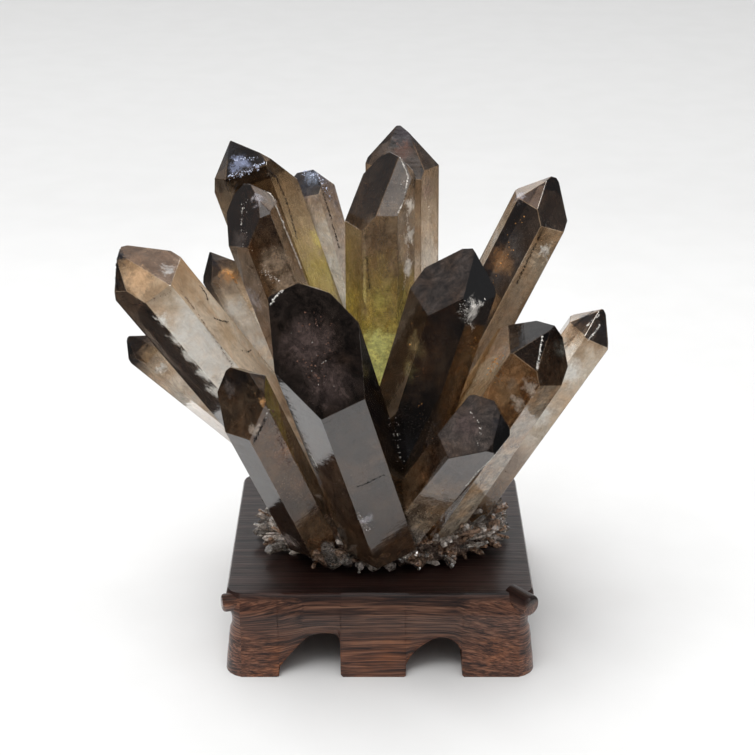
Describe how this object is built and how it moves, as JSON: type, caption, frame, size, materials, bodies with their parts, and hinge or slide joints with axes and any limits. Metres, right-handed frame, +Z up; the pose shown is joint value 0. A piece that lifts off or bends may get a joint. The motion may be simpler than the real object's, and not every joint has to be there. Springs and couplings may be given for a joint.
{
  "type": "quartz crystal cluster on stand",
  "caption": "Radiating cluster of long smoky quartz points on a crust of small crystals, resting on a low carved dark wooden stand.",
  "frame": {"origin": "on the surface that the stand rests on, under the middle of the whole object's box", "axes": "+X is the cluster's right, -Y its front, +Z up"},
  "size_m": [0.1932, 0.145, 0.2043],
  "materials": {
    "smoky_quartz": "natural crystal faces, glossy and see-through, brown-black at the tips and pale smoky brown to olive yellow below",
    "dark_wood": "dark reddish-brown hardwood with fine straight grain, waxed"
  },
  "bodies": {
    "root": {"quartz_cluster": "smoky_quartz", "wooden_stand": "dark_wood"}
  },
  "joints": []
}
